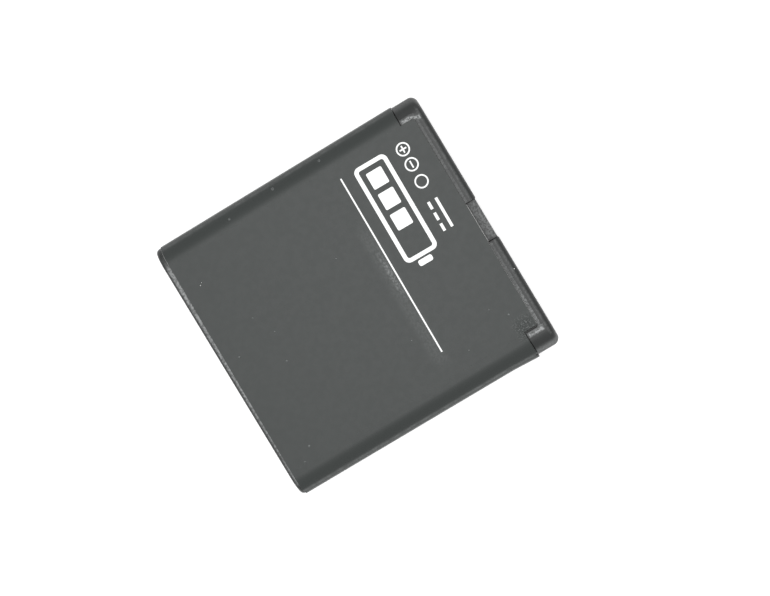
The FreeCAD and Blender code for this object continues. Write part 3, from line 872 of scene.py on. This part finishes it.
def grain_tree(material):
    """Puts a squashed ball on each point, as wide as its reach and turned by its tilt."""
    tree = bpy.data.node_groups.new("grains_on_points", "GeometryNodeTree")
    tree.interface.new_socket("Points", in_out="INPUT", socket_type="NodeSocketGeometry")
    tree.interface.new_socket("Grain height", in_out="INPUT", socket_type="NodeSocketFloat")
    tree.interface.new_socket("Grains", in_out="OUTPUT", socket_type="NodeSocketGeometry")

    def node(kind, **settings):
        made = tree.nodes.new(kind)
        for key, value in settings.items():
            setattr(made, key, value)
        return made

    def stored(name):
        attribute = node("GeometryNodeInputNamedAttribute", data_type="FLOAT")
        attribute.inputs["Name"].default_value = name
        return attribute.outputs["Attribute"]

    given = node("NodeGroupInput")
    ball = node("GeometryNodeMeshUVSphere")
    ball.inputs["Segments"].default_value = ball_segments
    ball.inputs["Rings"].default_value = ball_rings
    ball.inputs["Radius"].default_value = 1.0
    size = node("ShaderNodeCombineXYZ")
    turn = node("ShaderNodeCombineXYZ")
    spots = node("GeometryNodeInstanceOnPoints")
    solid = node("GeometryNodeRealizeInstances")
    smooth = node("GeometryNodeSetShadeSmooth")
    coat = node("GeometryNodeSetMaterial")
    coat.inputs["Material"].default_value = material
    result = node("NodeGroupOutput")
    reach = stored("reach")
    for start, end in (
        (reach, size.inputs["X"]),
        (reach, size.inputs["Y"]),
        (given.outputs["Grain height"], size.inputs["Z"]),
        (stored("tilt"), turn.inputs["X"]),
        (given.outputs["Points"], spots.inputs["Points"]),
        (ball.outputs["Mesh"], spots.inputs["Instance"]),
        (turn.outputs[0], spots.inputs["Rotation"]),
        (size.outputs[0], spots.inputs["Scale"]),
        (spots.outputs[0], solid.inputs[0]),
        (solid.outputs[0], smooth.inputs[0]),
        (smooth.outputs[0], coat.inputs[0]),
        (coat.outputs[0], result.inputs[0]),
    ):
        tree.links.new(start, end)
    return tree


def scatter_grains(name, places, height, sink, material):
    """Grains at (x, y, reach) places in millimetres, with their middles sunk below the film's surface."""
    data = bpy.data.meshes.new(name + "_points")
    middles = [(x * mm, y * mm, pack_middle + battery_surface(y * mm)[0] - sink) for x, y, size in places]
    data.from_pydata(middles, [], [])
    reach = data.attributes.new("reach", "FLOAT", "POINT")
    tilt = data.attributes.new("tilt", "FLOAT", "POINT")
    for number, (x, y, size) in enumerate(places):
        reach.data[number].value = size * mm
        tilt.data[number].value = battery_surface(y * mm)[1]
    points = add_object(name + "_points", data)
    tree = grain_tree(material)
    modifier = points.modifiers.new("grains", "NODES")
    modifier.node_group = tree
    modifier[tree.interface.items_tree["Grain height"].identifier] = height
    evaluated = points.evaluated_get(bpy.context.evaluated_depsgraph_get())
    grains = bpy.data.meshes.new_from_object(evaluated)
    bpy.data.objects.remove(points)
    piece = add_object(name, grains)
    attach(piece, "root")


scatter_grains(
    "dust_under_film", lump_places, height=0.1 * mm, sink=0.05 * mm,
    material=make_moulding(
        "rubbed_and_highlit_film", rubbed_and_highlit_lump_colour, roughness=0.42, grain_size=0.1 * mm, depth=0.004 * mm,
    ),
)
scatter_grains(
    "dust_specks", speck_places, height=0.05 * mm, sink=0.02 * mm,
    material=make_moulding(
        "white_dust", white_dust_colour, roughness=0.8, grain_size=0.05 * mm, depth=0.002 * mm,
    ),
)


# Print: white ink laid on the film in one pass, with the label a little askew on the battery. A thin
# rule, three polarity marks, a current sign and a sign of a charged battery, all plain shapes.
ink_colour = (0.86, 0.87, 0.86)
ink_thickness = 0.012 * mm
print_skew = math.radians(-0.67)
film_top = pack_middle + pack_half_height
circle_step = 6
corner_step = 15
rule_place = 6.56 * mm
rule_width = 0.22 * mm
rule_high = 15.65 * mm
rule_low = -12.93 * mm
mark_place = 16.32 * mm
plus_place = 14.78 * mm
minus_place = 12.31 * mm
sense_place = 9.52 * mm
mark_radius = 1.015 * mm
mark_stroke = 0.215 * mm
mark_bar = 1.1 * mm
sign_stroke = 0.62 * mm
sign_place = 11.16 * mm
sign_height = 5.3 * mm
sign_high = 15.8 * mm
sign_low = -0.9 * mm
sign_corner = 0.9 * mm
sign_inner_corner = 0.35 * mm
terminal_width = 2.2 * mm
terminal_reach = 1.2 * mm
terminal_gap = 0.3 * mm
terminal_corner = 0.3 * mm
charge_bars = 3
charge_gap = 0.8 * mm
charge_corner = 0.2 * mm
current_place = 16.26 * mm
current_high = 6.5 * mm
current_low = 1.8 * mm
current_stroke = 0.42 * mm
current_gap = 0.62 * mm
current_dashes = 3
current_dash_gap = 0.5


def point_round(x, y, radius, turn):
    return x + radius * math.cos(math.radians(turn)), y + radius * math.sin(math.radians(turn))


def rectangle(x_low, x_high, y_low, y_high, radius=0.0):
    if radius == 0:
        return [(x_low, y_low), (x_high, y_low), (x_high, y_high), (x_low, y_high)]
    corners = [
        (x_high - radius, y_high - radius, 0), (x_low + radius, y_high - radius, 90),
        (x_low + radius, y_low + radius, 180), (x_high - radius, y_low + radius, 270),
    ]
    return [
        point_round(x, y, radius, start + turn)
        for x, y, start in corners for turn in range(0, 91, corner_step)
    ]


def circle(x, y, radius):
    return [point_round(x, y, radius, turn) for turn in range(0, 360, circle_step)]


def print_piece(name, outlines):
    """Ink on the film: closed outlines filled between outer and inner ones, turned with the label."""
    curve = bpy.data.curves.new(name, "CURVE")
    curve.dimensions = "2D"
    curve.fill_mode = "BOTH"
    curve.extrude = ink_thickness / 2
    for outline in outlines:
        spline = curve.splines.new("POLY")
        spline.points.add(len(outline) - 1)
        for corner, (x, y) in zip(spline.points, outline):
            turned_x = x * math.cos(print_skew) - y * math.sin(print_skew)
            turned_y = x * math.sin(print_skew) + y * math.cos(print_skew)
            corner.co = (turned_x, turned_y, 0, 1)
        spline.use_cyclic_u = True
    holder = add_object(name + "_outline", curve)
    evaluated = holder.evaluated_get(bpy.context.evaluated_depsgraph_get())
    data = bpy.data.meshes.new_from_object(evaluated)
    bpy.data.objects.remove(holder)
    for vertex in data.vertices:
        vertex.co.z += film_top + ink_thickness / 2
    data.materials.clear()
    data.materials.append(ink_finish)
    piece = add_object(name, data)
    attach(piece, "root")


def ring(x, y):
    return [circle(x, y, mark_radius), circle(x, y, mark_radius - mark_stroke)]


def bar_across(x, y):
    return rectangle(x - mark_stroke / 2, x + mark_stroke / 2, y - mark_bar / 2, y + mark_bar / 2)


def cross(x, y):
    half = mark_stroke / 2
    arm = mark_bar / 2
    return [
        (x - half, y - arm), (x + half, y - arm), (x + half, y - half), (x + arm, y - half),
        (x + arm, y + half), (x + half, y + half), (x + half, y + arm), (x - half, y + arm),
        (x - half, y + half), (x - arm, y + half), (x - arm, y - half), (x - half, y - half),
    ]


def charged_battery_sign():
    low_x = sign_place - sign_height / 2
    high_x = sign_place + sign_height / 2
    body_low = sign_low + terminal_reach
    body = rectangle(low_x, high_x, body_low, sign_high, sign_corner)
    hollow = rectangle(
        low_x + sign_stroke, high_x - sign_stroke,
        body_low + sign_stroke, sign_high - sign_stroke, sign_inner_corner,
    )
    terminal = rectangle(
        sign_place - terminal_width / 2, sign_place + terminal_width / 2,
        sign_low, body_low - terminal_gap, terminal_corner,
    )
    inside = sign_high - body_low - 2 * (sign_stroke + charge_gap)
    pitch = (inside + charge_gap) / (charge_bars + 1)
    bars = []
    for number in range(charge_bars):
        top = sign_high - sign_stroke - charge_gap - number * pitch
        bars.append(rectangle(
            low_x + sign_stroke + charge_gap, high_x - sign_stroke - charge_gap,
            top - pitch + charge_gap, top, charge_corner,
        ))
    return [body, hollow, terminal] + bars


def direct_current_sign():
    """A whole bar beside a row of dashes, whose gaps are half a dash long."""
    upper = current_place + current_gap
    lower = current_place - current_gap
    dash = (current_high - current_low) / (current_dashes + (current_dashes - 1) * current_dash_gap)
    half = current_stroke / 2
    outlines = [rectangle(upper - half, upper + half, current_low, current_high)]
    for number in range(current_dashes):
        start = current_high - number * (1 + current_dash_gap) * dash
        outlines.append(rectangle(lower - half, lower + half, start - dash, start))
    return outlines


ink_finish = make_moulding("white_ink", ink_colour, roughness=0.5, grain_size=0.15 * mm, depth=0.002 * mm)
print_piece("print_rule", [
    rectangle(rule_place - rule_width / 2, rule_place + rule_width / 2, rule_low, rule_high),
])
print_piece("print_plus_mark", ring(mark_place, plus_place) + [cross(mark_place, plus_place)])
print_piece("print_minus_mark", ring(mark_place, minus_place) + [bar_across(mark_place, minus_place)])
print_piece("print_sense_mark", ring(mark_place, sense_place))
print_piece("print_current_sign", direct_current_sign())
print_piece("print_battery_sign", charged_battery_sign())


# Stage: a white floor and world, lit by one soft overhead panel. Floor and world reach full white
# for the camera and for reflections, and the floor keeps the battery's shadow.
floor_size = 3.0
floor_segments = 8
floor_colour = (0.8, 0.8, 0.8)
floor_roughness = 0.9
floor_glow = 0.42
floor_glow_far = 0.62
floor_glow_reach = 1.0
floor_glow_reflected = 0.9
world_strength = 0.5
world_seen = 1.0
panel_height = 0.5
panel_size = 0.3
panel_power = 2.2
panel_shift = 0.02


def sees_background(tree, seen_strength, reflected_strength):
    path = tree.nodes.new("ShaderNodeLightPath")
    reflected = strongest(tree, path.outputs["Is Glossy Ray"], path.outputs["Is Transmission Ray"])
    return strongest(
        tree, multiply(tree, path.outputs["Is Camera Ray"], seen_strength),
        multiply(tree, reflected, reflected_strength),
    )


def make_floor():
    mesh = bmesh.new()
    bmesh.ops.create_grid(mesh, x_segments=floor_segments, y_segments=floor_segments, size=floor_size / 2)
    data = bpy.data.meshes.new("studio_floor")
    mesh.to_mesh(data)
    mesh.free()
    material, tree, shader = start_finish("studio_white", floor_colour, floor_roughness, specular=0.0)
    shader.inputs["Emission Color"].default_value = (1, 1, 1, 1)
    distance = tree.nodes.new("ShaderNodeVectorMath")
    distance.operation = "LENGTH"
    tree.links.new(place_on_object(tree), distance.inputs[0])
    seen = spread(
        tree, distance.outputs["Value"], panel_size / 2, floor_glow_reach, floor_glow, floor_glow_far,
    )
    glow = sees_background(tree, seen, floor_glow_reflected)
    tree.links.new(glow, shader.inputs["Emission Strength"])
    data.materials.append(material)
    add_object("studio_floor", data)


def make_world():
    world = bpy.data.worlds.new("studio_world")
    bpy.context.scene.world = world
    world.use_nodes = True
    tree = world.node_tree
    background = tree.nodes["Background"]
    background.inputs["Color"].default_value = (1, 1, 1, 1)
    strength = strongest(tree, sees_background(tree, world_seen, world_seen), world_strength)
    tree.links.new(strength, background.inputs["Strength"])


def make_panel():
    lamp = bpy.data.lights.new("overhead_panel", "AREA")
    lamp.shape = "SQUARE"
    lamp.size = panel_size
    lamp.energy = panel_power
    panel = add_object("overhead_panel", lamp)
    panel.location = (0, panel_shift, panel_height)


make_floor()
make_world()
make_panel()


# Camera: almost straight above the battery and turned round its line of sight, as the photograph was
# taken, so that the perspective and the places of all edges agree with it.
camera_place = (19.33 * mm, 3.37 * mm, 241.92 * mm)
camera_turn = (-3.140, 2.600, -31.085)
camera_lens = 77.84
camera_sensor = 36
camera_clip_start = 0.01
camera_clip_end = 10


def make_camera():
    camera = bpy.data.cameras.new("photo_camera")
    camera.lens = camera_lens
    camera.sensor_width = camera_sensor
    camera.clip_start = camera_clip_start
    camera.clip_end = camera_clip_end
    holder = add_object("photo_camera", camera)
    holder.location = camera_place
    holder.rotation_euler = [math.radians(angle) for angle in camera_turn]
    bpy.context.scene.camera = holder


make_camera()
bpy.context.scene.view_settings.view_transform = "Standard"
